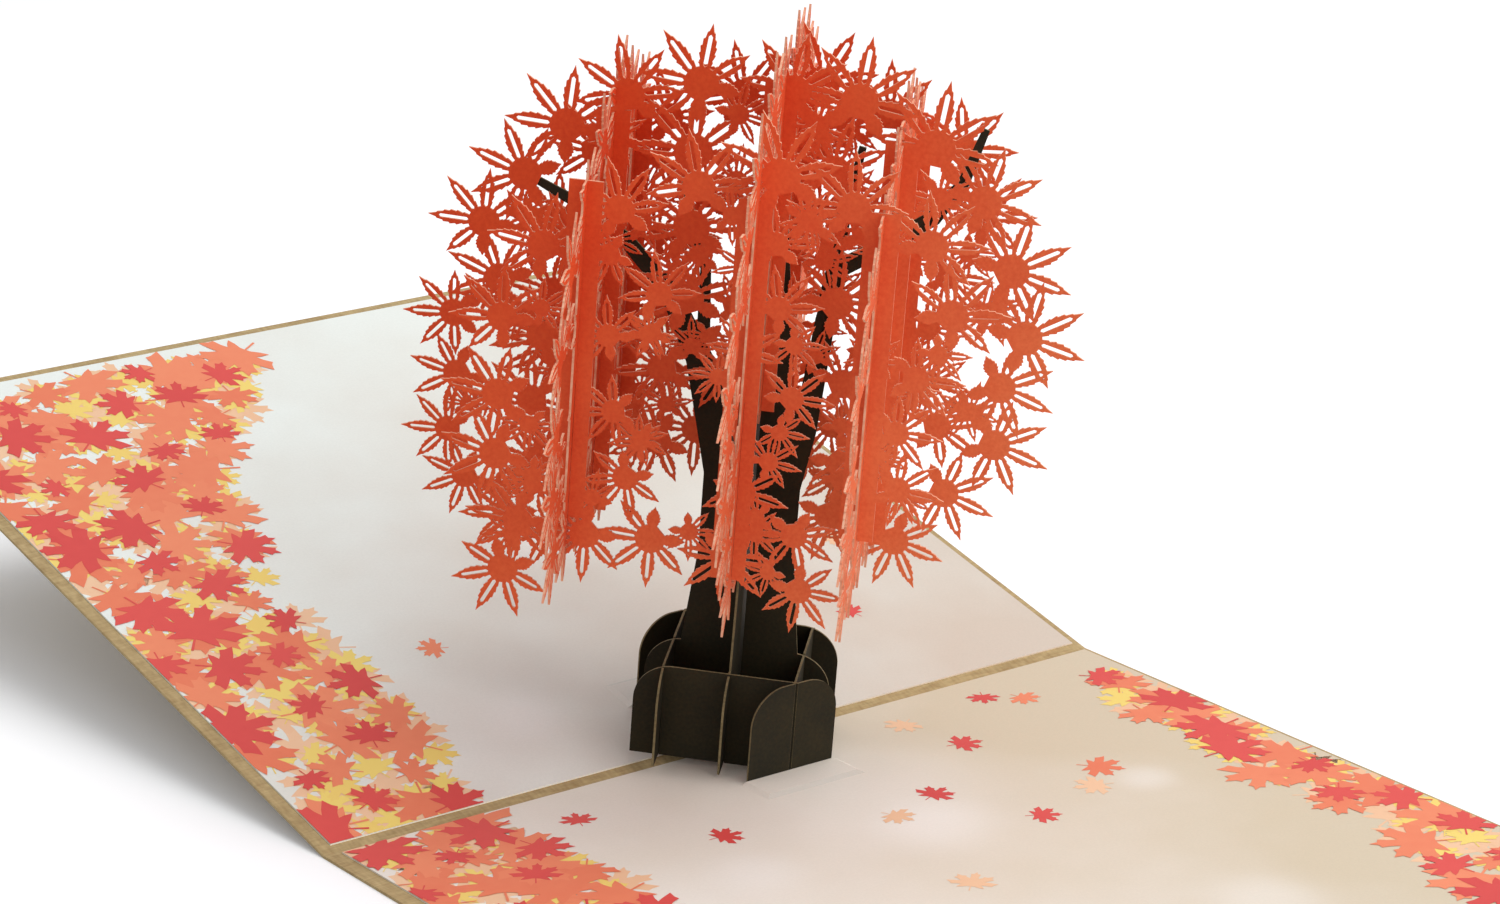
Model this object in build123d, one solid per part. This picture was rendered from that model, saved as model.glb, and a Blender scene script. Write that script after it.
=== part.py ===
from build123d import *
from math import atan2, cos, degrees, radians, sin, sqrt, tan
import os

# Card: one square-panelled sheet of kraft board, folded across its middle.
# The front panel lies flat and the back panel stands a little above flat.
card_width = 150.0
panel_depth = 150.0
cover_thickness = 0.45
lift_angle = 13.4

# Printed inserts, one glued to the inside of each panel
insert_width = 146.4
insert_depth = 146.2
insert_thickness = 0.25
front_insert_shift = 0.9
back_insert_shift = 0.5
front_gutter = 0.9
back_gutter = 1.9

# Slices of thin card that make the tree, and the play in their half slots
sheet = 0.35
slot_play = 0.15

# Base of the trunk: a small lattice of three slices each way
base_pitch = 10.4
base_height = 15.4
base_overhang = 4.4
corner_radius = 6.0

# Legs: the ends of the outer base slices, folded parallel to the card's fold.
# Each stands in a slit of the insert and is glued by a flap beneath it.
leg_width = 7.9
leg_setback = 0.45
flap_depth = 6.0
pocket_play = 0.1
pocket_ramp = 1.4

# How far the tree stands off the middle of the fold, as glued
tree_shift = 0.8

# Canopy: three slices each way, crossing at a wider pitch than the base. Its
# width follows the pitch, and its half slots meet a little above its centre.
# The outer a slices stand a little to the left of even spacing.
canopy_pitch = 22.0
outer_a_shift = 3.2
canopy_width_share = 4.55
canopy_centre = 62.0
canopy_bar = 5.2
slot_rise = 4.0

# Trunk and limbs, cut in one piece with the middle slices of the base
trunk_foot = 9.3
trunk_waist = 7.6
crotch_height = 47.0

# One leaf: five lobes, as turns from its middle lobe in degrees, with the reach
# of each lobe and of the notch after it as shares of the leaf's radius.
lobe_turns = [-112, -56, 0, 56, 112]
lobe_shares = [0.86, 0.96, 1.00, 0.96, 0.86]
notch_share = 0.44
swing_angle = 24.0

# Leaves of a middle slice: place across, place above the canopy's centre and
# radius, all as shares of the canopy's width.
middle_leaf_shares = [
    (-0.122, 0.455, 0.100), (-0.232, 0.425, 0.095), (-0.322, 0.365, 0.100),
    (-0.382, 0.280, 0.095), (-0.442, 0.195, 0.090), (-0.412, 0.105, 0.090),
    (-0.482, 0.040, 0.080), (-0.472, -0.060, 0.080), (-0.482, -0.155, 0.075),
    (-0.452, -0.230, 0.075), (-0.382, -0.285, 0.080), (-0.312, -0.305, 0.080),
    (0.018, 0.460, 0.095), (0.118, 0.455, 0.105), (0.238, 0.395, 0.110),
    (0.318, 0.320, 0.095), (0.368, 0.215, 0.100), (0.398, 0.110, 0.100),
    (0.368, 0.025, 0.090), (0.368, -0.070, 0.090), (0.298, -0.160, 0.085),
    (0.278, -0.050, 0.080), (0.228, -0.250, 0.085), (0.125, -0.222, 0.085),
    (-0.302, 0.180, 0.090), (-0.342, 0.020, 0.090), (-0.352, -0.090, 0.090),
    (-0.342, -0.190, 0.085), (-0.127, 0.345, 0.110), (-0.122, 0.225, 0.105),
    (0.088, 0.340, 0.095), (0.148, 0.250, 0.095), (-0.122, 0.110, 0.100),
    (0.108, 0.130, 0.095), (-0.152, -0.010, 0.085), (0.128, 0.000, 0.085),
    (-0.152, -0.130, 0.085), (0.138, -0.130, 0.085), (-0.055, 0.000, 0.080),
]

# Leaves of an outer slice, in the same terms; the last one, low down at the
# end, grows on the b slices only.
outer_leaf_shares = [
    (0.034, 0.400, 0.105), (-0.200, 0.320, 0.100), (-0.086, 0.370, 0.090),
    (0.034, 0.295, 0.085), (0.045, 0.195, 0.085), (0.000, 0.120, 0.080),
    (0.075, 0.055, 0.080), (0.012, -0.105, 0.090), (0.095, -0.165, 0.088),
    (-0.005, -0.215, 0.085), (0.108, -0.255, 0.074), (-0.133, 0.195, 0.085),
    (-0.205, 0.120, 0.080), (-0.190, 0.000, 0.080), (-0.166, -0.105, 0.085),
    (-0.122, -0.200, 0.085), (-0.222, -0.205, 0.085), (-0.366, -0.092, 0.090),
    (-0.366, 0.130, 0.085), (-0.366, 0.005, 0.090), (-0.326, -0.195, 0.085),
    (0.144, 0.365, 0.091), (-0.310, 0.250, 0.090), (0.262, 0.320, 0.090),
    (0.301, 0.216, 0.090), (0.256, 0.110, 0.090), (0.234, 0.020, 0.085),
    (0.244, -0.070, 0.085), (-0.345, -0.280, 0.085),
]

# Solid bars that hold the slots, from the near or left crossing onwards: lower
# and upper end above the canopy's centre, as shares of its width.
middle_bar_shares = [(-0.26, 0.40), (-0.06, 0.47), (-0.26, 0.40)]
outer_bar_shares = [(-0.18, 0.36), (-0.25, 0.36), (-0.16, 0.36)]

# Limbs of each trunk slice: stations across, up and width, as shares of the
# canopy's width across, of its centre height up, and of the trunk's foot wide.
limb_shares_b = [
    [(-0.036, 0.70, 0.80), (-0.064, 0.86, 0.66), (-0.096, 1.02, 0.46), (-0.150, 1.19, 0.33),
     (-0.222, 1.31, 0.26), (-0.300, 1.39, 0.20), (-0.380, 1.45, 0.12)],
    [(0.047, 0.70, 0.62), (0.074, 0.86, 0.42), (0.084, 1.00, 0.36), (0.093, 1.16, 0.33),
     (0.108, 1.30, 0.33), (0.180, 1.38, 0.29), (0.244, 1.46, 0.26),
     (0.284, 1.56, 0.20), (0.310, 1.70, 0.12)],
    [(0.093, 1.22, 0.26), (0.110, 1.44, 0.20), (0.128, 1.62, 0.12)],
    [(-0.091, 1.02, 0.24), (-0.096, 1.26, 0.18), (-0.140, 1.48, 0.12)],
    [(0.000, 0.60, 1.55), (0.000, 0.757, 1.63), (0.004, 0.94, 1.00), (0.006, 1.13, 0.80),
     (0.000, 1.36, 0.60), (-0.010, 1.60, 0.36)],
]
limb_shares_a = [
    [(-0.045, 0.64, 0.62), (-0.100, 0.76, 0.40), (-0.170, 0.85, 0.30),
     (-0.250, 0.94, 0.24), (-0.320, 1.04, 0.18), (-0.360, 1.18, 0.12)],
    [(0.045, 0.62, 0.62), (0.110, 0.74, 0.40), (0.180, 0.84, 0.30),
     (0.260, 0.93, 0.24), (0.330, 1.06, 0.18), (0.350, 1.22, 0.12)],
    [(0.000, 0.75, 1.63), (0.000, 0.96, 1.00), (0.000, 1.14, 0.84),
     (0.000, 1.36, 0.68), (0.000, 1.56, 0.52)],
]

# Worked out: how far the fold lies from the middle of the card's footprint,
# the lean of the tree, and where its legs meet the panels.
lift = radians(lift_angle)
lean = lift / 2
canopy_width = canopy_width_share * canopy_pitch
mid_slot = canopy_centre + slot_rise
fold_offset = (panel_depth * (1 - cos(lift)) - cover_thickness * sin(lift)) / 2
leg_shift = leg_setback / sqrt(2)
leg_plane = base_pitch * sqrt(2) + leg_shift
leg_reach = (leg_plane + insert_thickness * sin(lean)) / cos(lean)
base_rise = leg_reach * sin(lean) + insert_thickness * cos(lean)

# Frames: the inner face of each panel with +Y pointing away from the fold, the
# tree with its base on the plane through the feet of its legs, and those feet.
crease = Pos(0, fold_offset, cover_thickness)
back_panel = crease * Rotation(lift_angle, 0, 0)
front_panel = crease * Rotation(0, 0, 180)
tree = Pos(tree_shift, 0, 0) * crease * Rotation(lift_angle / 2, 0, 0) * Pos(0, 0, base_rise)
back_foot = Pos(tree_shift, 0, 0) * back_panel
front_foot = Pos(tree_shift, 0, 0) * front_panel
along_a = Vector(1, 1, 0).normalized()
along_b = Vector(1, -1, 0).normalized()


def plane_a(place):
    """Upright plane of an a slice, which runs from the near left to the far right."""
    return Plane(origin=along_b * place, x_dir=along_a, z_dir=along_b)


def plane_b(place):
    """Upright plane of a b slice, which runs from the far left to the near right."""
    return Plane(origin=along_a * place, x_dir=along_b, z_dir=-along_a)


def cut_sheet(outline, plane):
    """One flat slice of thin card with the given outline, centred on its plane."""
    return extrude(plane * outline, amount=sheet / 2, both=True)


def slot(place, bottom, top, sheets=1, side=0):
    """Slot for one sheet, or for two that lie face to face on the side given."""
    width = sheets * sheet + slot_play
    shift = side * (sheets - 1) * sheet / 2
    return Pos(place + shift, (bottom + top) / 2) * Rectangle(width, top - bottom)


def cover():
    """The folded cover, from its profile across the fold."""
    back_edge = Vector(panel_depth, 0).rotate(Axis.Z, lift_angle)
    back_skin = Vector(0, -cover_thickness).rotate(Axis.Z, lift_angle)
    half_skin = Vector(0, -cover_thickness).rotate(Axis.Z, lift_angle / 2)
    outer_fold = Vector(0, -cover_thickness)
    profile = Polyline(
        outer_fold,
        (-panel_depth, -cover_thickness),
        (-panel_depth, 0),
        (0, 0),
        back_edge,
        back_edge + back_skin,
        back_skin,
    ) + ThreePointArc(back_skin, half_skin, outer_fold)
    across = Plane(origin=crease.position, x_dir=(0, 1, 0), z_dir=(1, 0, 0))
    return extrude(across * make_face(profile), amount=card_width / 2, both=True)


def insert(panel, foot, shift, gutter):
    """A printed sheet with a slit for the legs and a low hump over their flaps."""
    half_slit = leg_shift + leg_width + pocket_play
    slit_edge = leg_reach + sheet / 2 + pocket_play
    slit_gap = sheet + 2 * pocket_play
    pocket_depth = leg_reach + flap_depth + pocket_play - slit_edge
    pocket_height = sheet + pocket_play
    on_slit = (Align.CENTER, Align.MIN, Align.MIN)
    plate = Pos(shift, gutter, 0) * Box(insert_width, insert_depth, insert_thickness, align=on_slit)
    hump_height = pocket_height + insert_thickness
    hump_end = slit_edge + pocket_depth + insert_thickness
    hump_side = half_slit + insert_thickness
    fall = Polyline(
        (slit_edge, 0), (hump_end + pocket_ramp, 0), (hump_end, hump_height), (slit_edge, hump_height), close=True
    )
    spread = Polyline(
        (-hump_side - pocket_ramp, 0), (hump_side + pocket_ramp, 0), (hump_side, hump_height),
        (-hump_side, hump_height), close=True,
    )
    hump = extrude(Plane.YZ * make_face(fall), amount=2 * hump_side, both=True)
    hump &= extrude(Plane.XZ * make_face(spread), amount=2 * insert_depth, both=True)
    pocket = Pos(0, slit_edge, 0) * Box(2 * half_slit, pocket_depth, pocket_height, align=on_slit)
    slit = Pos(0, slit_edge - slit_gap, 0) * Box(2 * half_slit, slit_gap, base_height, align=on_slit)
    return panel * plate + foot * hump - foot * (pocket + slit)


def base_outline():
    """Side view of a base slice that isn't folded: two rounded upper corners."""
    span = 2 * (base_pitch + base_overhang)
    block = Pos(0, base_height / 2) * Rectangle(span, base_height)
    return fillet(block.vertices().group_by(Axis.Y)[-1], corner_radius)


def rounded_end(end, outward):
    """What is trimmed from the upper corner of a folded slice's end."""
    side = Vector(outward.Y, -outward.X, 0)
    upright = Plane(origin=end, x_dir=outward, z_dir=side)
    block = Rectangle(corner_radius, corner_radius, align=(Align.MAX, Align.MAX))
    waste = block - Pos(-corner_radius, -corner_radius) * Circle(corner_radius)
    return extrude(upright * (Pos(0, base_height) * waste), amount=sheet, both=True)


def strip(start, end):
    """Plan view of an upright sheet that runs straight between two points."""
    run = end - start
    turn = degrees(atan2(run.Y, run.X))
    return Pos(*(start + run / 2)) * Rotation(0, 0, turn) * Rectangle(run.length, sheet)


def flap(foot, side):
    """The foot of a leg: through the slit, then folded outwards on the cover."""
    half_cut = sheet / 2 / cos(lean)

    def leg_face(height, half):
        return (leg_reach + (height - insert_thickness) * tan(lean) + half, height)

    profile = Polyline(
        leg_face(0, -half_cut),
        (leg_reach + flap_depth, 0),
        (leg_reach + flap_depth, sheet),
        leg_face(sheet, half_cut),
        leg_face(sheet, -half_cut),
        close=True,
    )
    across = Plane(origin=(side * leg_shift, 0, 0), x_dir=(0, 1, 0), z_dir=(1, 0, 0))
    return foot * extrude(across * make_face(profile), amount=side * leg_width)


def folded_base_slice(plane, corner, slots, foot, side):
    """An outer base slice whose end past the corner crossing is folded to a leg.

    The corner is the crossing's place along the slice, and side is where the leg
    goes as seen from the frame of its foot.
    """
    outward = plane.x_dir * (1 if corner > 0 else -1)
    crossing = plane.origin + plane.x_dir * corner
    free_end = crossing - outward * (2 * base_pitch + base_overhang)
    bend = crossing + outward * leg_setback
    leg_way = Vector(1 if outward.X > 0 else -1, 0, 0)
    leg_end = bend + leg_way * leg_width
    plan = strip(free_end, bend) + strip(bend, leg_end) + Pos(*bend) * Circle(sheet / 2)
    body = extrude(plan, amount=base_height)
    body -= rounded_end(free_end, -outward)
    body -= rounded_end(leg_end, leg_way)
    for cut in slots:
        body -= extrude(plane * cut, amount=sheet, both=True)
    return tree * body + flap(foot, side)


def leaf(place, up, radius, turn):
    """One five-lobed leaf, its middle lobe turned from upright by turn degrees."""
    points = []
    for index, lobe_turn in enumerate(lobe_turns):
        following = lobe_turns[index + 1] if index + 1 < len(lobe_turns) else 360 + lobe_turns[0]
        for angle, share in ((lobe_turn, lobe_shares[index]), ((lobe_turn + following) / 2, notch_share)):
            bearing = radians(90 - turn - angle)
            points.append((place + radius * share * cos(bearing), up + radius * share * sin(bearing)))
    return make_face(Polyline(*points, close=True))


def leaf_turn(across, above, index):
    """Leaves point away from the canopy's centre, each swung a little off."""
    outward = degrees(atan2(across, above))
    return outward + swing_angle * ((index * 5) % 7 - 3) / 3


def canopy_outline(leaf_shares, bar_shares, flip, crossings):
    """Side view of a canopy slice: overlapping leaves around solid bars."""
    shapes = []
    for crossing, (low, high) in zip(crossings, bar_shares):
        bottom = canopy_centre + low * canopy_width
        top = canopy_centre + high * canopy_width
        bar = Rectangle(canopy_bar, top - bottom)
        shapes.append(Pos(crossing, (bottom + top) / 2) * bar)
    for index, (across, above, size) in enumerate(leaf_shares):
        turn = leaf_turn(across, above, index)
        place = flip * across * canopy_width
        up = canopy_centre + above * canopy_width
        shapes.append(leaf(place, up, size * canopy_width, flip * turn))
    return Sketch() + shapes


def canopy_slots(upward, side, crossings):
    """Slots at the three crossings: open upwards in a slices, down in b slices."""
    sky = canopy_centre + canopy_width
    bottom, top = (mid_slot, sky) if upward else (0, mid_slot)
    near, middle, far = crossings
    return [slot(near, bottom, top), slot(middle, bottom, top, 2, side), slot(far, bottom, top)]


def limb(stations):
    """A tapering limb through hand-placed stations of centre and width."""
    left = []
    right = []
    for index, (across, up, width) in enumerate(stations):
        before = stations[max(index - 1, 0)]
        after = stations[min(index + 1, len(stations) - 1)]
        run = Vector((after[0] - before[0]) * canopy_width, (after[1] - before[1]) * canopy_centre)
        normal = run.normalized().rotate(Axis.Z, 90) * (width * trunk_foot / 2)
        centre = Vector(across * canopy_width, up * canopy_centre)
        left.append(centre + normal)
        right.append(centre - normal)
    return make_face(Polyline(*left, *reversed(right), close=True))


def trunk_outline(limb_shares):
    """Side view of a middle base slice that rises into trunk and limbs."""
    stem = make_face(Polyline(
        (-trunk_foot, 0),
        (-trunk_foot, base_height),
        (-trunk_waist, (base_height + crotch_height) / 2),
        (-trunk_waist, crotch_height),
        (trunk_waist, crotch_height),
        (trunk_waist, (base_height + crotch_height) / 2),
        (trunk_foot, base_height),
        (trunk_foot, 0),
        close=True,
    ))
    return base_outline() + stem + [limb(stations) for stations in limb_shares]


def write(node, shape):
    """Write one node; the whole card is in millimetres."""
    export_step(Part() + shape.solids(), f"parts/{node}.step")


os.makedirs("parts", exist_ok=True)

write("cover", cover())
write("insert_front", insert(front_panel, front_foot, -front_insert_shift, front_gutter))
write("insert_back", insert(back_panel, back_foot, back_insert_shift, back_gutter))

half_base = base_height / 2
lines = (-base_pitch, 0, base_pitch)
upper_slots = [slot(line, half_base, base_height + sheet) for line in lines]
lower_slots = [slot(line, -sheet, half_base) for line in lines]
write("base_a_right", folded_base_slice(plane_a(base_pitch), -base_pitch, upper_slots, front_foot, 1))
write("base_a_left", folded_base_slice(plane_a(-base_pitch), base_pitch, upper_slots, back_foot, 1))
write("base_b_front", folded_base_slice(plane_b(-base_pitch), base_pitch, lower_slots, front_foot, -1))
write("base_b_back", folded_base_slice(plane_b(base_pitch), -base_pitch, lower_slots, back_foot, -1))

base_cuts_a = [upper_slots[0], upper_slots[2]]
base_cuts_b = [lower_slots[0], lower_slots[2]]
trunk_cut_a = slot(0, mid_slot, canopy_centre + canopy_width, 2, -1)
trunk_cut_b = slot(0, -sheet, mid_slot, 2, 1)
write("trunk_a", tree * cut_sheet(trunk_outline(limb_shares_a) - base_cuts_a - trunk_cut_a, plane_a(0)))
write("trunk_b", tree * cut_sheet(trunk_outline(limb_shares_b) - base_cuts_b - trunk_cut_b, plane_b(0)))

along_a_slices = (-canopy_pitch, 0, canopy_pitch)
along_b_slices = (-canopy_pitch - outer_a_shift, 0, canopy_pitch - outer_a_shift)
cuts_a = canopy_slots(True, -1, along_a_slices)
cuts_b = canopy_slots(False, 1, along_b_slices)
middle_a = canopy_outline(middle_leaf_shares, middle_bar_shares, -1, along_a_slices) - cuts_a
middle_b = canopy_outline(middle_leaf_shares, middle_bar_shares, 1, along_b_slices) - cuts_b
outer_a = canopy_outline(outer_leaf_shares[:-1], outer_bar_shares, 1, along_a_slices) - cuts_a
outer_b = canopy_outline(outer_leaf_shares, outer_bar_shares, 1, along_b_slices) - cuts_b
write("canopy_a_left", tree * cut_sheet(outer_a, plane_a(along_b_slices[0])))
write("canopy_a_centre", tree * cut_sheet(middle_a, plane_a(0).offset(sheet)))
write("canopy_a_right", tree * cut_sheet(outer_a, plane_a(along_b_slices[2])))
write("canopy_b_front", tree * cut_sheet(outer_b, plane_b(along_a_slices[0])))
write("canopy_b_centre", tree * cut_sheet(middle_b, plane_b(0).offset(sheet)))
write("canopy_b_back", tree * cut_sheet(outer_b, plane_b(along_a_slices[2])))
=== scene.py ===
import math

import bmesh
import bpy
from mathutils import Matrix, Vector
from mathutils.geometry import delaunay_2d_cdt


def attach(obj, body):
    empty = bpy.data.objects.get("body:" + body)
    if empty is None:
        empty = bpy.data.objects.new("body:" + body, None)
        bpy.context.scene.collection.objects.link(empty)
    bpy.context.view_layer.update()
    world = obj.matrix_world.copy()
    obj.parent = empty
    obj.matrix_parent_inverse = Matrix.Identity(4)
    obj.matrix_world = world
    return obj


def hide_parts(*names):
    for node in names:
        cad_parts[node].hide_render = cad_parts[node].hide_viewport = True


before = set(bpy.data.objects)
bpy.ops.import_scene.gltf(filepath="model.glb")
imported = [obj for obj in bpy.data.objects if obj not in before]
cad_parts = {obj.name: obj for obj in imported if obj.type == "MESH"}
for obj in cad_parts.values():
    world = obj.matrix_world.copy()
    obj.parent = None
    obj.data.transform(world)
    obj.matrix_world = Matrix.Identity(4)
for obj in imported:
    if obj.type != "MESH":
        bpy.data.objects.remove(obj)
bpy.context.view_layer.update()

# The cover: one sheet of unbleached kraft board, about 0.45 mm thick, creased
# once and folded. It is matte, with short darker and lighter fibres pressed
# flat, and its cut edges show the same brown all through.
MM = 0.001
LIFT = math.radians(13.4)
CREASE = Vector((0, 1.99, 0.45)) * MM
KRAFT_DARK, KRAFT_LIGHT = "#9A8055", "#BFA879"
FIBRE_WIDTH, FLAKE_WIDTH, CLOUD_WIDTH = 0.5, 0.7, 9


def linear(code):
    """An sRGB hex colour as linear red, green, blue and full alpha."""
    parts = [int(code[at : at + 2], 16) / 255 for at in (1, 3, 5)]
    return [p / 12.92 if p <= 0.04045 else ((p + 0.055) / 1.055) ** 2.4 for p in parts] + [1]


def add(tree, kind, feeds=None, **settings):
    """Adds a node, sets it, and feeds each input named from a socket or a value."""
    made = tree.nodes.new(kind)
    for name, value in settings.items():
        setattr(made, name, value)
    for name, value in (feeds or {}).items():
        if isinstance(value, bpy.types.NodeSocket):
            tree.links.new(value, made.inputs[name])
        else:
            made.inputs[name].default_value = value
    return made


def noise(tree, place, width, detail):
    """Soft noise whose spots are about so many mm wide."""
    feeds = {"Vector": place, "Scale": 1 / (width * MM), "Detail": detail}
    return add(tree, "ShaderNodeTexNoise", feeds).outputs[0]


def start_material(name):
    """An empty material, its node tree, and the place that its patterns read."""
    material = bpy.data.materials.new(name)
    material.use_nodes = True
    material.node_tree.nodes.clear()
    place = add(material.node_tree, "ShaderNodeTexCoord").outputs["Object"]
    return material, material.node_tree, place


kraft, tree, place = start_material("kraft_board_calendered")
# Fibres 0.5 mm wide and about 4 mm long, at two crossed directions
long_way = add(tree, "ShaderNodeMapping", {"Vector": place, "Scale": (0.16, 1, 1)}).outputs[0]
cross_way = add(tree, "ShaderNodeMapping", {"Vector": place, "Scale": (1, 0.2, 1)}).outputs[0]
fibre = noise(tree, long_way, FIBRE_WIDTH, 3)
flake = noise(tree, cross_way, FLAKE_WIDTH, 2)
cloud = noise(tree, place, CLOUD_WIDTH, 2)
both = add(tree, "ShaderNodeMix", {0: 0.5, 2: fibre, 3: flake}, data_type="FLOAT").outputs[0]
mixed = add(tree, "ShaderNodeMix", {0: 0.3, 2: both, 3: cloud}, data_type="FLOAT").outputs[0]
ramp = add(tree, "ShaderNodeValToRGB", {0: mixed})
ramp.color_ramp.elements[0].position = 0.36
ramp.color_ramp.elements[0].color = linear(KRAFT_DARK)
ramp.color_ramp.elements[1].position = 0.64
ramp.color_ramp.elements[1].color = linear(KRAFT_LIGHT)
bump = add(tree, "ShaderNodeBump", {"Height": fibre, "Strength": 0.25, "Distance": 0.05 * MM}).outputs[0]
shader = add(tree, "ShaderNodeBsdfPrincipled", {
    "Base Color": ramp.outputs[0], "Roughness": 0.82, "IOR": 1.45, "Normal": bump,
})
add(tree, "ShaderNodeOutputMaterial", {"Surface": shader.outputs[0]})
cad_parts["cover"].data.materials[0] = kraft

# The inserts: uncoated paper with an offset-printed ground, which drifts from
# cool white to warm peach, as a wash does, with a few soft white glows. The
# widest glow on each side, near the foot of the tree, is printed and also painted
# light, to lift the shade that the tree casts there. Places are mm along the fold
# and mm away from it, and a glow's third number its reach.
PAPER = 0.25
GLOW_SHARE = 0.3
# Strength of the painted counter-shade on the slopes over the glue flaps
FLAP_PAINTED_COUNTER_SHADE = -0.52
FRONT = Matrix.Translation(CREASE) @ Matrix.Rotation(math.pi, 4, "Z")
BACK = Matrix.Translation(CREASE) @ Matrix.Rotation(LIFT, 4, "X")
SIDES = {
    "back": {
        "panel": BACK, "along": 1, "cool": "#EBF0EA", "warm": "#D2C4B4",
        "wash": ((-45, 115), (70, 10)),
        # The first glow is printed and also painted light, lifting the tree's shade
        "glows": [(-36, 16, 36), (-26, 20, 11), (8, 66, 14), (30, 104, 12), (52, 52, 9)],
    },
    "front": {
        "panel": FRONT, "along": -1, "cool": "#EBE3D8", "warm": "#D5C6AC",
        "wash": ((-50, 50), (50, 40)),
        # The first glow is printed and also painted light, lifting the tree's shade
        "glows": [
            (2, 32, 40), (-27, 44, 12), (6, 45, 15), (44, 50, 8), (27, 96, 14), (-14, 78, 9),
        ],
    },
}
for side, facts in SIDES.items():
    paper, tree, place = start_material(f"printed_paper_ground_{side}")
    into_panel = facts["panel"].inverted()
    flat = add(tree, "ShaderNodeMapping", {
        "Vector": place,
        "Location": into_panel.to_translation(),
        "Rotation": into_panel.to_euler(),
    }).outputs[0]
    start, end = [Vector((facts["along"] * x, d, 0)) * MM for x, d in facts["wash"]]
    run = end - start
    shifted = add(tree, "ShaderNodeVectorMath", {0: flat, 1: start}, operation="SUBTRACT").outputs[0]
    share = add(tree, "ShaderNodeVectorMath", {
        0: shifted, 1: run / run.length_squared,
    }, operation="DOT_PRODUCT")
    drift = noise(tree, flat, 38, 3)
    spread = add(tree, "ShaderNodeMapRange", {0: drift, 1: 0.3, 2: 0.7, 3: -0.2, 4: 0.2}).outputs[0]
    wash = add(tree, "ShaderNodeMath", {
        0: share.outputs["Value"], 1: spread,
    }, operation="ADD", use_clamp=True).outputs[0]
    ground = add(tree, "ShaderNodeMix", {
        0: wash, 6: linear(facts["cool"]), 7: linear(facts["warm"]),
    }, data_type="RGBA").outputs[2]
    for x, d, reach in facts["glows"]:
        centre = Vector((facts["along"] * x, d, 0)) * MM
        gap = add(tree, "ShaderNodeVectorMath", {0: flat, 1: centre}, operation="DISTANCE").outputs["Value"]
        glow = add(tree, "ShaderNodeMapRange", {
            0: gap, 1: 0, 2: reach * MM, 3: GLOW_SHARE, 4: 0,
        }, interpolation_type="SMOOTHERSTEP").outputs[0]
        ground = add(tree, "ShaderNodeMix", {
            0: glow, 6: ground, 7: linear("#FDFBF8"),
        }, data_type="RGBA").outputs[2]
    # Tooth of the paper, 0.4 mm across
    tooth = noise(tree, place, 0.4, 2)
    soft = add(tree, "ShaderNodeMapRange", {0: tooth, 1: 0.3, 2: 0.7, 3: 0.965, 4: 1.0}).outputs[0]
    # Painted counter-shade: the slope over the glue flaps that faces away from the
    # fold is painted darker and the one that faces the fold lighter, so that their
    # light and shade cancel and the hump hardly shows
    normal = add(tree, "ShaderNodeNewGeometry").outputs["Normal"]
    outward = facts["panel"].col[1].to_3d()
    lean = add(tree, "ShaderNodeVectorMath", {0: normal, 1: outward}, operation="DOT_PRODUCT").outputs["Value"]
    painted_counter_shade = add(tree, "ShaderNodeMath", {0: lean, 1: FLAP_PAINTED_COUNTER_SHADE, 2: 1.0}, operation="MULTIPLY_ADD").outputs[0]
    soft = add(tree, "ShaderNodeMath", {0: soft, 1: painted_counter_shade}, operation="MULTIPLY").outputs[0]
    toned = add(tree, "ShaderNodeVectorMath", {0: ground, 1: soft}, operation="MULTIPLY").outputs[0]
    bump = add(tree, "ShaderNodeBump", {"Height": tooth, "Strength": 0.15, "Distance": 0.02 * MM}).outputs[0]
    shader = add(tree, "ShaderNodeBsdfPrincipled", {
        "Base Color": toned, "Roughness": 0.7, "IOR": 1.45, "Normal": bump,
    })
    add(tree, "ShaderNodeOutputMaterial", {"Surface": shader.outputs[0]})
    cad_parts[f"insert_{side}"].data.materials[0] = paper

# The printed leaves: flat matte ink on the inserts, thickest along the card's
# side edges and thinning to single leaves near the tree. Each is a plain maple
# leaf of one colour, a little uneven as watercolour is, and they overlap freely.
INSERT_WIDE, INSERT_DEEP = 146.4, 146.2
STACK, STEP = 24.0, 0.001
half_leaf = [
    (0.000, 1.00), (0.070, 0.83), (0.180, 0.80), (0.145, 0.62), (0.150, 0.43),
    (0.290, 0.52), (0.320, 0.63), (0.450, 0.60), (0.660, 0.70), (0.610, 0.52),
    (0.720, 0.42), (0.550, 0.30), (0.430, 0.17), (0.620, 0.16), (0.930, 0.11),
    (0.780, -0.05), (0.730, -0.17), (0.520, -0.13), (0.350, -0.14), (0.430, -0.25),
    (0.500, -0.41), (0.310, -0.36), (0.130, -0.28), (0.022, -0.27), (0.045, -0.66),
]
leaf_outline = half_leaf + [(-x + (0.04 if y < -0.6 else 0), y) for x, y in reversed(half_leaf[1:])]
leaf_mesh = bpy.data.meshes.new("printed_leaf")
leaf_mesh.from_pydata([(x, y, 0) for x, y in leaf_outline], [], [list(reversed(range(len(leaf_outline))))])
leaf_pattern = bpy.data.objects.new("printed_leaf", leaf_mesh)

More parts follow.
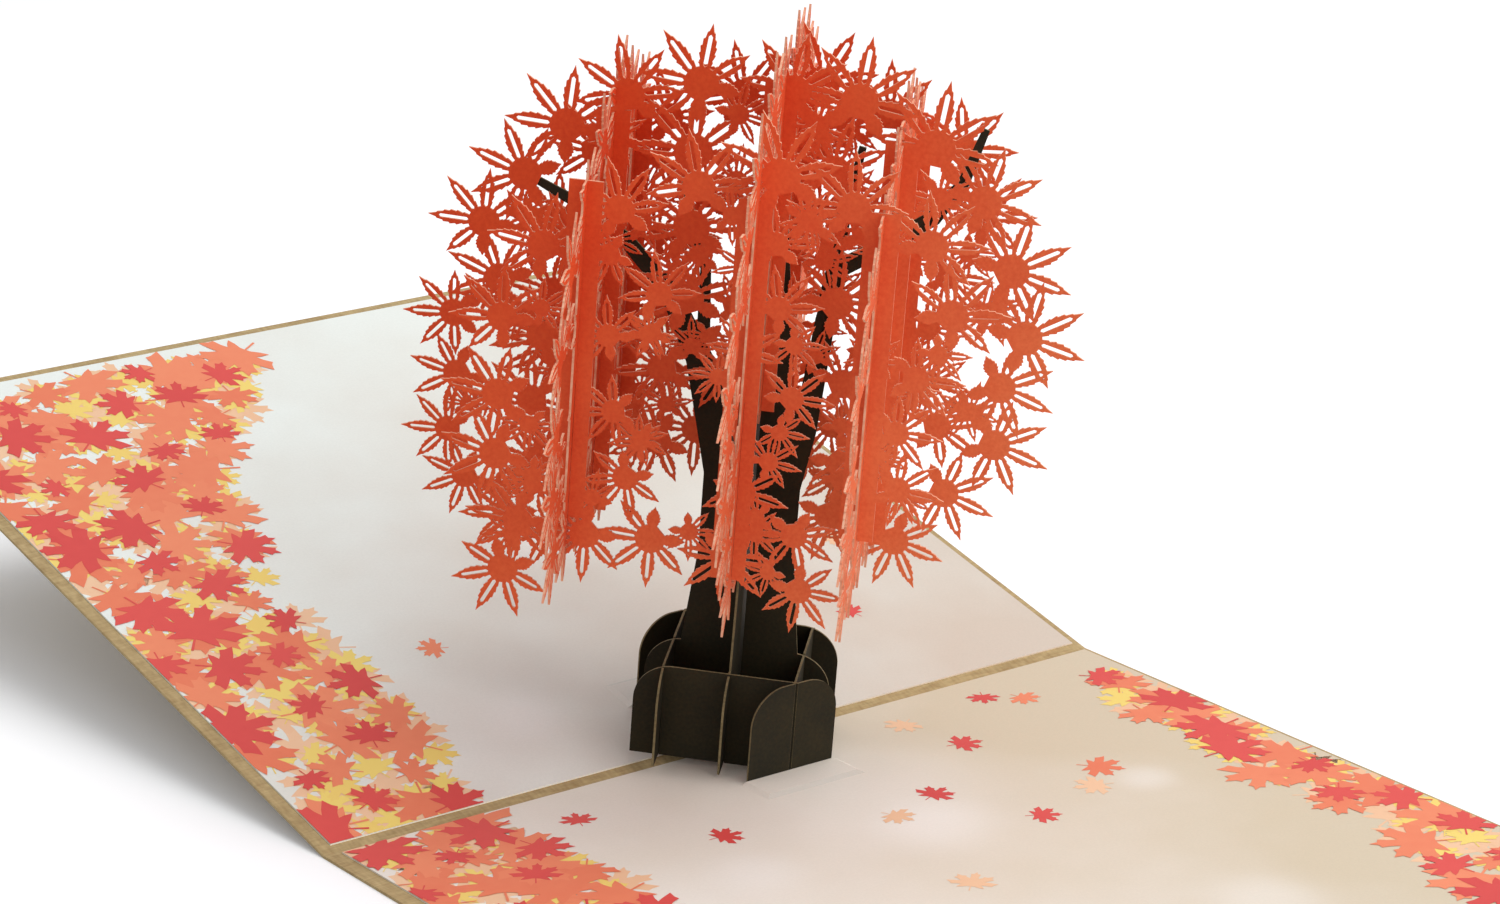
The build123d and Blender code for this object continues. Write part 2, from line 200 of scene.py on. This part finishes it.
scatter = bpy.data.node_groups.new("scatter_printed_leaves", "GeometryNodeTree")
for name, kind in (
    ("Band", "NodeSocketGeometry"), ("Leaf", "NodeSocketObject"), ("Spacing", "NodeSocketFloat"),
    ("Smallest", "NodeSocketFloat"), ("Largest", "NodeSocketFloat"), ("Lift", "NodeSocketFloat"),
    ("Seed", "NodeSocketInt"), ("Ink", "NodeSocketMaterial"),
):
    scatter.interface.new_socket(name=name, in_out="INPUT", socket_type=kind)
scatter.interface.new_socket(name="Leaves", in_out="OUTPUT", socket_type="NodeSocketGeometry")
given = add(scatter, "NodeGroupInput").outputs
points = add(scatter, "GeometryNodeDistributePointsOnFaces", {
    "Mesh": given["Band"], "Distance Min": given["Spacing"], "Density Max": 90000.0, "Seed": given["Seed"],
}, distribute_method="POISSON").outputs["Points"]
tone = add(scatter, "FunctionNodeRandomValue", {2: 0.0, 3: 1.0, 8: 5}, data_type="FLOAT").outputs[1]
toned = add(scatter, "GeometryNodeStoreNamedAttribute", {
    "Geometry": points, "Name": "tone", "Value": tone,
}, data_type="FLOAT", domain="POINT").outputs[0]
count = add(scatter, "GeometryNodeInputIndex").outputs[0]
layer = add(scatter, "ShaderNodeMath", {0: count, 1: STACK}, operation="MODULO").outputs[0]
raised = add(scatter, "ShaderNodeMath", {
    0: layer, 1: STEP * MM, 2: given["Lift"],
}, operation="MULTIPLY_ADD").outputs[0]
upward = add(scatter, "ShaderNodeCombineXYZ", {"Z": raised}).outputs[0]
placed = add(scatter, "GeometryNodeSetPosition", {"Geometry": toned, "Offset": upward}).outputs[0]
turn = add(scatter, "FunctionNodeRandomValue", {2: 0.0, 3: 2 * math.pi, 8: 11}, data_type="FLOAT").outputs[1]
turned = add(scatter, "ShaderNodeCombineXYZ", {"Z": turn}).outputs[0]
size = add(scatter, "FunctionNodeRandomValue", {
    2: given["Smallest"], 3: given["Largest"], 8: 23,
}, data_type="FLOAT").outputs[1]
pattern = add(scatter, "GeometryNodeObjectInfo", {"Object": given["Leaf"]}).outputs["Geometry"]
leaves = add(scatter, "GeometryNodeInstanceOnPoints", {
    "Points": placed, "Instance": pattern, "Rotation": turned, "Scale": size,
}).outputs[0]
real = add(scatter, "GeometryNodeRealizeInstances", {"Geometry": leaves}).outputs[0]
inked = add(scatter, "GeometryNodeSetMaterial", {"Geometry": real, "Material": given["Ink"]}).outputs[0]
add(scatter, "NodeGroupOutput", {"Leaves": inked})

INKS = {
    "yellow": ("#F0D873", "#EDC96A"), "orange": ("#EE8E66", "#E2714F"),
    "red": ("#DE4F48", "#CE3D3B"), "pale": ("#EFC6A0", "#EAB992"),
}
inks = {}
for ink, (light, dark) in INKS.items():
    material, tree, place = start_material(f"offset_ink_{ink}")
    tone = add(tree, "ShaderNodeAttribute", attribute_name="tone").outputs["Fac"]
    pool = noise(tree, place, 2.5, 3)
    blend = add(tree, "ShaderNodeMix", {0: 0.4, 2: tone, 3: pool}, data_type="FLOAT").outputs[0]
    colour = add(tree, "ShaderNodeMix", {
        0: blend, 6: linear(light), 7: linear(dark),
    }, data_type="RGBA").outputs[2]
    shader = add(tree, "ShaderNodeBsdfPrincipled", {"Base Color": colour, "Roughness": 0.65, "IOR": 1.45})
    add(tree, "ShaderNodeOutputMaterial", {"Surface": shader.outputs[0]})
    inks[ink] = material

BANDS = {
    "back_left": ("back", [
        (-72, 3), (-47, 3), (-45, 16), (-43, 32), (-44, 54), (-43, 70), (-38, 90), (-32, 106),
        (-14, 126), (-6, 143), (-72, 143),
    ]),
    "front_left": ("front", [
        (-72, 3), (-48, 3), (-47, 22), (-46, 42), (-49, 70), (-46, 100), (-50, 128), (-47, 143), (-72, 143),
    ]),
    "front_right": ("front", [
        (72, 9), (66, 13), (62, 31), (60, 50), (60, 66), (63, 84), (58, 100), (56, 114), (60, 143), (72, 143),
    ]),
}
# Each layer: ink, spacing, smallest and largest leaf and lift in mm, and seed
LAYERS = [
    ("pale", 6.0, 5.0, 8.0, 0.0, 21),
    ("yellow", 5.2, 3.2, 5.4, 0.03, 3),
    ("orange", 7.3, 4.6, 9.6, 0.06, 8),
    ("red", 10.0, 3.6, 9.0, 0.09, 14),
]
# Single leaves: panel, mm along the fold, mm from it, reach in mm, turn in degrees
SINGLES = [
    ("back", -28, 43, 3.4, 70, "orange"), ("back", 44, 25, 3.0, 20, "red"), ("back", 56, 47, 3.2, 200, "pale"),
    ("front", -37, 12, 3.4, 160, "red"), ("front", -23, 30, 3.7, 85, "red"), ("front", 13, 36, 3.8, 110, "red"),
    ("front", 21, 52, 3.6, 60, "red"), ("front", 30, 22, 3.9, 75, "red"), ("front", 41, 42, 4.8, 40, "orange"),
    ("front", 28, 10, 3.8, 300, "pale"), ("front", 3, 39, 3.6, 20, "pale"), ("front", 36, 48, 4.2, 250, "pale"),
    ("front", -4, 66, 4.2, 130, "pale"), ("front", 46, 8, 3.2, 330, "red"), ("front", 51, 12, 3.4, 15, "orange"),
]
for side, facts in SIDES.items():
    sheet_leaves = bmesh.new()
    sheet_inks = list(inks.values())
    for number, (band, (on, corners)) in enumerate(BANDS.items()):
        if on != side:
            continue
        for ink, spacing, smallest, largest, lift, seed in LAYERS:
            field = bpy.data.meshes.new(f"{band}_{ink}")
            ring = [(facts["along"] * x * MM, d * MM, 0) for x, d in corners]
            field.from_pydata(ring, [], [range(len(ring))])
            holder = bpy.data.objects.new(f"{band}_{ink}", field)
            bpy.context.scene.collection.objects.link(holder)
            modifier = holder.modifiers.new("leaves", "NODES")
            modifier.node_group = scatter
            wanted = {
                "Leaf": leaf_pattern, "Spacing": spacing * MM, "Smallest": smallest * MM,
                "Largest": largest * MM, "Lift": lift * MM, "Seed": seed + number, "Ink": inks[ink],
            }
            for socket in scatter.interface.items_tree:
                if socket.in_out == "INPUT" and socket.name in wanted:
                    modifier[socket.identifier] = wanted[socket.name]
            solved = holder.evaluated_get(bpy.context.evaluated_depsgraph_get())
            plain = bpy.data.meshes.new_from_object(solved)
            first = len(sheet_leaves.faces)
            sheet_leaves.from_mesh(plain)
            sheet_leaves.faces.ensure_lookup_table()
            for face in sheet_leaves.faces[first:]:
                face.material_index = sheet_inks.index(inks[ink])
            bpy.data.objects.remove(holder)
    floats = sheet_leaves.verts.layers.float
    tone = floats.get("tone") or floats.new("tone")
    for count, (on, x, d, reach, turn, ink) in enumerate(SINGLES):
        if on != side:
            continue
        spin = Matrix.Rotation(math.radians(turn), 3, "Z") * (reach * MM)
        at = Vector((facts["along"] * x, d, 0.03)) * MM
        corners = [sheet_leaves.verts.new(spin @ Vector((px, py, 0)) + at) for px, py in leaf_outline]
        for corner in corners:
            corner[tone] = (count * 0.37) % 1
        face = sheet_leaves.faces.new(list(reversed(corners)))
        face.material_index = sheet_inks.index(inks[ink])
    # The paper was trimmed after printing, so leaves end at its edges
    reach_x = INSERT_WIDE / 2 * MM
    shift_x = (0.5 if side == "back" else -0.9) * MM
    gutter = (1.9 if side == "back" else 0.9) * MM
    for point, normal in (
        ((shift_x + reach_x, 0, 0), (1, 0, 0)), ((shift_x - reach_x, 0, 0), (-1, 0, 0)),
        ((0, gutter + INSERT_DEEP * MM, 0), (0, 1, 0)), ((0, gutter, 0), (0, -1, 0)),
    ):
        everything = sheet_leaves.verts[:] + sheet_leaves.edges[:] + sheet_leaves.faces[:]
        bmesh.ops.bisect_plane(
            sheet_leaves, geom=everything, plane_co=point, plane_no=normal, clear_outer=True,
        )
    bmesh.ops.triangulate(sheet_leaves, faces=sheet_leaves.faces[:])
    mesh = bpy.data.meshes.new(f"printed_leaves_{side}")
    sheet_leaves.transform(facts["panel"] @ Matrix.Translation((0, 0, PAPER * MM)))
    sheet_leaves.to_mesh(mesh)
    sheet_leaves.free()
    for material in sheet_inks:
        mesh.materials.append(material)
    printed = bpy.data.objects.new(f"printed_leaves_{side}", mesh)
    bpy.context.scene.collection.objects.link(printed)
    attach(printed, "root")

# The lattice at the foot, the trunk and the limbs: card dyed dark brown right
# through and cut by laser. The faces are matte and nearly black, and the cut
# edges are a paler, scorched olive brown, so each slice has a fine light rim.
BROAD = 0.95
LEAN = LIFT / 2
UP = Vector((0, -math.sin(LEAN), math.cos(LEAN)))
AWAY = Vector((0, math.cos(LEAN), math.sin(LEAN)))
ALONG_A = (Vector((1, 0, 0)) + AWAY).normalized()
ALONG_B = (Vector((1, 0, 0)) - AWAY).normalized()
for nodes, facing in (
    (("base_a_left", "base_a_right", "trunk_a"), ALONG_B),
    (("base_b_front", "base_b_back", "trunk_b"), ALONG_A),
):
    brown, tree, place = start_material("brown_card_dyed_" + nodes[0][5])
    normal = add(tree, "ShaderNodeNewGeometry").outputs["Normal"]
    mottle = noise(tree, place, 0.5, 3)
    patch = noise(tree, place, 7, 2)
    blend = add(tree, "ShaderNodeMix", {0: 0.5, 2: mottle, 3: patch}, data_type="FLOAT").outputs[0]
    spread = add(tree, "ShaderNodeMapRange", {0: blend, 1: 0.35, 2: 0.65}).outputs[0]
    face = add(tree, "ShaderNodeMix", {
        0: spread, 6: linear("#1A1607"), 7: linear("#2B230D"),
    }, data_type="RGBA").outputs[2]
    cut = add(tree, "ShaderNodeMix", {
        0: spread, 6: linear("#5E5238"), 7: linear("#857654"),
    }, data_type="RGBA").outputs[2]
    # A face that looks along the slice's thickness, or a folded leg's, is a broad one
    broad = None
    for direction in (facing, AWAY):
        dot = add(tree, "ShaderNodeVectorMath", {
            0: normal, 1: direction,
        }, operation="DOT_PRODUCT").outputs["Value"]
        size = add(tree, "ShaderNodeMath", {0: dot}, operation="ABSOLUTE").outputs[0]
        flat = add(tree, "ShaderNodeMath", {0: size, 1: BROAD}, operation="GREATER_THAN").outputs[0]
        if broad is not None:
            flat = add(tree, "ShaderNodeMath", {0: broad, 1: flat}, operation="MAXIMUM").outputs[0]
        broad = flat
    colour = add(tree, "ShaderNodeMix", {0: broad, 6: cut, 7: face}, data_type="RGBA").outputs[2]
    bump = add(tree, "ShaderNodeBump", {"Height": mottle, "Strength": 0.2, "Distance": 0.03 * MM}).outputs[0]
    shader = add(tree, "ShaderNodeBsdfPrincipled", {
        "Base Color": colour, "Roughness": 0.8, "Specular IOR Level": 0.3, "Normal": bump,
    })
    add(tree, "ShaderNodeOutputMaterial", {"Surface": shader.outputs[0]})
    for node in nodes:
        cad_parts[node].data.materials[0] = brown

# The canopy: six slices of card, each laser cut in one outline of overlapping
# maple leaves around the plain bars that hold the half slots. They merge into
# one sheet, so they are cut as flat polygons and not scattered.
SHEET = 0.35
CLEARANCE = 0.15
PITCH = 22.0
LEFT = 3.2
WIDTH = 4.55 * PITCH
CENTRE = 62.0
BAR = 5.2
MID_SLOT = CENTRE + 4.0
RISE = 2.017
TREE = CREASE + Vector((0.8, 0, 0)) * MM + UP * (RISE * MM)
# Each lobe's turn in degrees and its length as a share of the leaf. All but the
# two smallest have a slit down the middle.
lobes = [(-138, 0.62), (-92, 0.88), (-46, 0.97), (0, 1.0), (46, 0.97), (92, 0.88), (138, 0.62)]
# One finely toothed side of a lobe: share of its reach, and half width as a share
# of the leaf
LOBE_START = 0.26
SLIT_HALF, SLIT_NEAR, SLIT_FAR, SLIT_LEAST = 0.033, 0.30, 0.78, 0.7
lobe_side = [
    (0.26, 0.080), (0.36, 0.108), (0.38, 0.092), (0.48, 0.130), (0.50, 0.109), (0.60, 0.128),
    (0.62, 0.102), (0.72, 0.104), (0.74, 0.077), (0.84, 0.061), (0.86, 0.038), (1.0, 0.0),
]
middle_leaves = [
    (-0.122, 0.455, 0.100), (-0.232, 0.425, 0.095), (-0.322, 0.365, 0.100),
    (-0.382, 0.280, 0.095), (-0.442, 0.195, 0.090), (-0.412, 0.105, 0.090),
    (-0.482, 0.040, 0.080), (-0.472, -0.060, 0.080), (-0.482, -0.155, 0.075),
    (-0.452, -0.230, 0.075), (-0.382, -0.285, 0.080), (-0.312, -0.305, 0.080),
    (0.018, 0.460, 0.095), (0.118, 0.455, 0.105), (0.238, 0.395, 0.110),
    (0.318, 0.320, 0.095), (0.368, 0.215, 0.100), (0.398, 0.110, 0.100),
    (0.368, 0.025, 0.090), (0.368, -0.070, 0.090), (0.298, -0.160, 0.085),
    (0.278, -0.050, 0.080), (0.228, -0.250, 0.085), (0.125, -0.222, 0.085),
    (-0.302, 0.180, 0.090), (-0.342, 0.020, 0.090), (-0.352, -0.090, 0.090),
    (-0.342, -0.190, 0.085), (-0.127, 0.345, 0.110), (-0.122, 0.225, 0.105),
    (0.088, 0.340, 0.095), (0.148, 0.250, 0.095), (-0.122, 0.110, 0.100),
    (0.108, 0.130, 0.095), (-0.152, -0.010, 0.085), (0.128, 0.000, 0.085),
    (-0.152, -0.130, 0.085), (0.138, -0.130, 0.085), (-0.055, 0.000, 0.080),
]
outer_leaves = [
    (0.034, 0.400, 0.105), (-0.200, 0.320, 0.100), (-0.086, 0.370, 0.090),
    (0.034, 0.295, 0.085), (0.045, 0.195, 0.085), (0.000, 0.120, 0.080),
    (0.075, 0.055, 0.080), (0.012, -0.105, 0.090), (0.095, -0.165, 0.088),
    (-0.005, -0.215, 0.085), (0.108, -0.255, 0.074), (-0.133, 0.195, 0.085),
    (-0.205, 0.120, 0.080), (-0.190, 0.000, 0.080), (-0.166, -0.105, 0.085),
    (-0.122, -0.200, 0.085), (-0.222, -0.205, 0.085), (-0.366, -0.092, 0.090),
    (-0.366, 0.130, 0.085), (-0.366, 0.005, 0.090), (-0.326, -0.195, 0.085),
    (0.144, 0.365, 0.091), (-0.310, 0.250, 0.090), (0.262, 0.320, 0.090),
    (0.301, 0.216, 0.090), (0.256, 0.110, 0.090), (0.234, 0.020, 0.085),
    (0.244, -0.070, 0.085), (-0.345, -0.280, 0.085),
]
middle_bars = [(-0.26, 0.40), (-0.06, 0.47), (-0.26, 0.40)]
outer_bars = [(-0.18, 0.36), (-0.25, 0.36), (-0.16, 0.36)]
crossings = {"a": (-PITCH, 0, PITCH), "b": (-PITCH - LEFT, 0, PITCH - LEFT)}


def block(middle, width, bottom, top):
    """A rectangle's corners, anticlockwise."""
    left, right = middle - width / 2, middle + width / 2
    return [Vector((left, bottom)), Vector((right, bottom)), Vector((right, top)), Vector((left, top))]


def cut_leaf(place, radius, turn):
    """One leaf's outline, and the slits down its longer lobes."""
    outline = []
    slits = []
    for lobe_turn, length in lobes:
        bearing = math.radians(90 - turn - lobe_turn)
        ahead = Vector((math.cos(bearing), math.sin(bearing)))
        aside = Vector((-ahead.y, ahead.x))
        reach = radius * length
        start = LOBE_START * radius
        rows = [
            (start + (share - LOBE_START) / 0.74 * (reach - start), half * radius)
            for share, half in lobe_side
        ]
        left = [ahead * along + aside * half for along, half in rows]
        right = [ahead * along - aside * half for along, half in rows[:-1]]
        outline += left + list(reversed(right))
        if length > SLIT_LEAST:
            half = SLIT_HALF * radius
            near, far = SLIT_NEAR * radius, reach * SLIT_FAR
            ends = [
                (near, -half), (far, -half), (far + half, 0),
                (far, half), (near, half), (near - half, 0),
            ]
            slits.append([ahead * along + aside * over for along, over in ends])
    return [p + place for p in reversed(outline)], [[p + place for p in slit] for slit in slits]


def cut_canopy(leaves, bars, flip, way):
    """The triangles of one slice: what leaves and bars cover, less slits and slots."""
    shapes, kinds = [], []
    middle = Vector((0, CENTRE))
    for index, (across, above, size) in enumerate(leaves):
        # Leaves point outwards, each turned up to 24 degrees aside by its number
        turn = flip * (math.degrees(math.atan2(across, above)) + 24 * ((index * 5) % 7 - 3) / 3)
        place = Vector((flip * across, above)) * WIDTH
        inward = -place.normalized() * size * WIDTH
        # A smaller leaf grows beside each one, further in, and on the middle slices a
        # third fills in around the limbs. Each has a shift, a swing and its share.
        inner = abs(across) < 0.26 and -0.2 < above < 0.33
        lean_to = 40 - 80 * (index % 2)
        in_middle = leaves is middle_leaves
        group = [(0, 0, 0.84 if inner and not in_middle else 1), (0.72, lean_to, 0.60)]
        if inner and in_middle:
            group.append((0.74, 3 * lean_to, 0.58))
        for shift, swing, share in group:
            aside = Matrix.Rotation(math.radians(swing), 2) @ inward * shift
            spot = place + aside + middle
            outline, slits = cut_leaf(spot, size * share * WIDTH, turn + 2.4 * swing)
            shapes += [outline] + slits
            kinds += [("leaf", (index, swing))] + [("slit", (index, swing))] * len(slits)
    bottom, top = (MID_SLOT, CENTRE + WIDTH) if way == "a" else (0, MID_SLOT)
    side = -1 if way == "a" else 1
    for crossing, (low, high) in zip(crossings[way], bars):
        shapes.append(block(crossing, BAR, CENTRE + low * WIDTH, CENTRE + high * WIDTH))
        kinds.append(("bar", crossing))
        sheets = 1 if crossing else 2
        slot_width = sheets * SHEET + CLEARANCE
        shapes.append(block(crossing + side * (sheets - 1) * SHEET / 2, slot_width, bottom, top))
        kinds.append(("slot", crossing))
    points, rings = [], []
    for shape in shapes:
        rings.append(list(range(len(points), len(points) + len(shape))))
        points += shape
    cut = delaunay_2d_cdt(points, [], rings, 1, 1e-5, True)
    spots, faces, owners = cut[0], cut[2], cut[5]
    kept = []
    for face, owner in zip(faces, owners):
        inside = {kinds[at] for at in owner}
        if any(kind == "slot" for kind, _ in inside):
            continue
        leafy = any(kind == "leaf" and ("slit", which) not in inside for kind, which in inside)
        if leafy or any(kind == "bar" for kind, _ in inside):
            kept.append(list(face))
    # Crumbs that a slot cut loose fell out, so only the largest piece is kept
    linked = {}

    def root(at):
        while linked.setdefault(at, at) != at:
            at = linked[at]
        return at

    for a, b, c in kept:
        linked[root(b)] = root(a)
        linked[root(c)] = root(a)
    sizes = {}
    for face in kept:
        sizes[root(face[0])] = sizes.get(root(face[0]), 0) + 1
    largest = max(sizes, key=sizes.get)
    return spots, [face for face in kept if root(face[0]) == largest]


# Matte dyed card: a finely grained red. Painted shade makes it deep at the top
# of the tree and the far left, and painted light fades it to a paler orange red
# towards the near right
red, tree, place = start_material("red_card_dyed_with_painted_light")
grain = noise(tree, place, 0.6, 3)
patch = noise(tree, place, 14, 2)
blend = add(tree, "ShaderNodeMix", {0: 0.45, 2: grain, 3: patch}, data_type="FLOAT").outputs[0]
spread = add(tree, "ShaderNodeMapRange", {0: blend, 1: 0.35, 2: 0.65}).outputs[0]
# The shaded copy of the red: painted shade for the top, the far side and the left
deep = add(tree, "ShaderNodeMix", {
    0: spread, 6: linear("#DE461B"), 7: linear("#EA5624"),
}, data_type="RGBA").outputs[2]
# The lit copy of the red: painted light for the near right
pale = add(tree, "ShaderNodeMix", {
    0: spread, 6: linear("#E36E42"), 7: linear("#EF8352"),
}, data_type="RGBA").outputs[2]
# Painted light grows to the right, to the near side and downwards
painted_light_slope = add(tree, "ShaderNodeVectorMath", {
    0: place, 1: Vector((1 / 160, -1 / 220, -1 / 130)) / MM,
}, operation="DOT_PRODUCT").outputs["Value"]
painted_light_share = add(tree, "ShaderNodeMath", {0: painted_light_slope, 1: 0.95}, operation="ADD", use_clamp=True).outputs[0]
colour = add(tree, "ShaderNodeMix", {0: painted_light_share, 6: deep, 7: pale}, data_type="RGBA").outputs[2]
bump = add(tree, "ShaderNodeBump", {"Height": grain, "Strength": 0.2, "Distance": 0.03 * MM}).outputs[0]
shader = add(tree, "ShaderNodeBsdfPrincipled", {
    "Base Color": colour, "Roughness": 0.75, "Specular IOR Level": 0.3, "Normal": bump,
})
add(tree, "ShaderNodeOutputMaterial", {"Surface": shader.outputs[0]})

# The cut edges: a paler, uneven pink, as the dye is thin there, and paler still
# as a painted highlight for the light that the edges catch
red_edge, tree, place = start_material("red_card_laser_cut_edge_with_painted_highlight")
char = noise(tree, place, 1.5, 2)
spread = add(tree, "ShaderNodeMapRange", {0: char, 1: 0.35, 2: 0.65}).outputs[0]
colour = add(tree, "ShaderNodeMix", {
    0: spread, 6: linear("#E0906F"), 7: linear("#F0B594"),
}, data_type="RGBA").outputs[2]
shader = add(tree, "ShaderNodeBsdfPrincipled", {"Base Color": colour, "Roughness": 0.8, "IOR": 1.45})
add(tree, "ShaderNodeOutputMaterial", {"Surface": shader.outputs[0]})

# Node, direction, place across in mm, leaves, bars, and which way they face
slices = [
    ("canopy_a_left", "a", crossings["b"][0], outer_leaves[:-1], outer_bars, 1),
    ("canopy_a_centre", "a", SHEET, middle_leaves, middle_bars, -1),
    ("canopy_a_right", "a", crossings["b"][2], outer_leaves[:-1], outer_bars, 1),
    ("canopy_b_front", "b", PITCH, outer_leaves, outer_bars, 1),
    ("canopy_b_centre", "b", SHEET, middle_leaves, middle_bars, 1),
    ("canopy_b_back", "b", -PITCH, outer_leaves, outer_bars, 1),
]
for name, way, place_out, leaves, bars, flip in slices:
    run, normal = (ALONG_A, ALONG_B) if way == "a" else (ALONG_B, -ALONG_A)
    spots, triangles = cut_canopy(leaves, bars, flip, way)
    half = SHEET / 2
    used = sorted({at for face in triangles for at in face})
    number = {at: index for index, at in enumerate(used)}
    level = len(used)
    points = []
    for side in (half, -half):
        for at in used:
            along, up = spots[at]
            points.append(TREE + (run * along + UP * up + normal * (place_out + side)) * MM)
    front = [[number[at] for at in face] for face in triangles]
    rear = [[at + level for at in reversed(face)] for face in front]
    sides = {}
    for face in front:
        for a, b in zip(face, face[1:] + face[:1]):
            sides[(a, b)] = True
    walls = [(b, a, a + level, b + level) for a, b in sides if (b, a) not in sides]
    mesh = bpy.data.meshes.new(name + "_leaves")
    mesh.from_pydata(points, [], front + rear + walls)
    mesh.materials.append(red)
    mesh.materials.append(red_edge)
    for face in mesh.polygons[len(front) + len(rear):]:
        face.material_index = 1
    leafy = bpy.data.objects.new(name + "_leaves", mesh)
    bpy.context.scene.collection.objects.link(leafy)
    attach(leafy, "root")
    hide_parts(name)

# The stage: a white floor, one wide soft lamp high on the right, a weaker one
# low at the near right, and an even white sky. The floor is a little lifted for
# the eye alone, so that it reads as white and still keeps the card's shadow.
SKY_LIGHT = 0.63
LIFT_UNDER, LIFT_AWAY = 0.03, 0.12
bpy.ops.mesh.primitive_plane_add(size=6)
floor = bpy.context.object
floor.name = "floor"
floor_white, tree, place = start_material("stage_white")
path = add(tree, "ShaderNodeLightPath").outputs
seen = add(tree, "ShaderNodeMath", {
    0: path["Is Camera Ray"], 1: path["Is Glossy Ray"],
}, operation="MAXIMUM").outputs[0]
seen = add(tree, "ShaderNodeMath", {
    0: seen, 1: path["Is Transmission Ray"],
}, operation="MAXIMUM").outputs[0]
white = add(tree, "ShaderNodeMix", {
    0: seen, 6: linear("#DCDCDA"), 7: linear("#FFFFFF"),
}, data_type="RGBA").outputs[2]
matte = add(tree, "ShaderNodeBsdfDiffuse", {"Color": white}).outputs[0]
# The lift fades out under the card, so that its shadow stays deep
reach = add(tree, "ShaderNodeVectorMath", {0: place}, operation="ABSOLUTE").outputs[0]
past = add(tree, "ShaderNodeVectorMath", {
    0: reach, 1: Vector((65, 130, 0)) * MM,
}, operation="SUBTRACT").outputs[0]
outside = add(tree, "ShaderNodeVectorMath", {0: past, 1: Vector()}, operation="MAXIMUM").outputs[0]
far = add(tree, "ShaderNodeVectorMath", {0: outside}, operation="LENGTH").outputs["Value"]
lift = add(tree, "ShaderNodeMapRange", {
    0: far, 1: 0, 2: 30 * MM, 3: LIFT_UNDER, 4: LIFT_AWAY,
}).outputs[0]
lifted = add(tree, "ShaderNodeMath", {0: seen, 1: lift}, operation="MULTIPLY").outputs[0]
glow = add(tree, "ShaderNodeEmission", {"Color": (1, 1, 1, 1), "Strength": lifted}).outputs[0]
both = add(tree, "ShaderNodeAddShader", {0: matte, 1: glow}).outputs[0]
add(tree, "ShaderNodeOutputMaterial", {"Surface": both})
floor.data.materials.append(floor_white)

world = bpy.data.worlds.new("stage_sky")
bpy.context.scene.world = world
world.use_nodes = True
world.node_tree.nodes.clear()
tree = world.node_tree
path = add(tree, "ShaderNodeLightPath").outputs
seen = add(tree, "ShaderNodeMath", {
    0: path["Is Camera Ray"], 1: path["Is Glossy Ray"],
}, operation="MAXIMUM").outputs[0]
seen = add(tree, "ShaderNodeMath", {
    0: seen, 1: path["Is Transmission Ray"],
}, operation="MAXIMUM").outputs[0]
sky = add(tree, "ShaderNodeBackground", {"Color": linear("#F4F6FA"), "Strength": SKY_LIGHT}).outputs[0]
white = add(tree, "ShaderNodeBackground", {"Color": (1, 1, 1, 1), "Strength": 1.0}).outputs[0]
chosen = add(tree, "ShaderNodeMixShader", {0: seen, 1: sky, 2: white}).outputs[0]
add(tree, "ShaderNodeOutputWorld", {"Surface": chosen})

for name, spot, width, power in (
    ("key_lamp", (0.45, -0.15, 1.25), 1.0, 7.4),
    ("front_lamp", (0.30, -0.85, 0.65), 0.9, 4.4),
):
    lamp = bpy.data.lights.new(name, "AREA")
    lamp.size = width
    lamp.energy = power
    holder = bpy.data.objects.new(name, lamp)
    holder.location = spot
    holder.rotation_euler = (Vector((0, 0, 0.04)) - Vector(spot)).to_track_quat("-Z", "Y").to_euler()
    bpy.context.scene.collection.objects.link(holder)

lens = bpy.data.cameras.new("camera")
lens.sensor_width = 36
lens.lens = 106.55
lens.shift_x = 0.0151
lens.shift_y = -0.0448
lens.clip_start = 0.01
camera = bpy.data.objects.new("camera", lens)
camera.location = (-0.3913, -0.5278, 0.26145)
aim = Vector((0, 0.00198, 0.06045)) - camera.location
camera.rotation_euler = aim.to_track_quat("-Z", "Y").to_euler()
bpy.context.scene.collection.objects.link(camera)
bpy.context.scene.camera = camera
bpy.context.scene.view_settings.view_transform = "Standard"
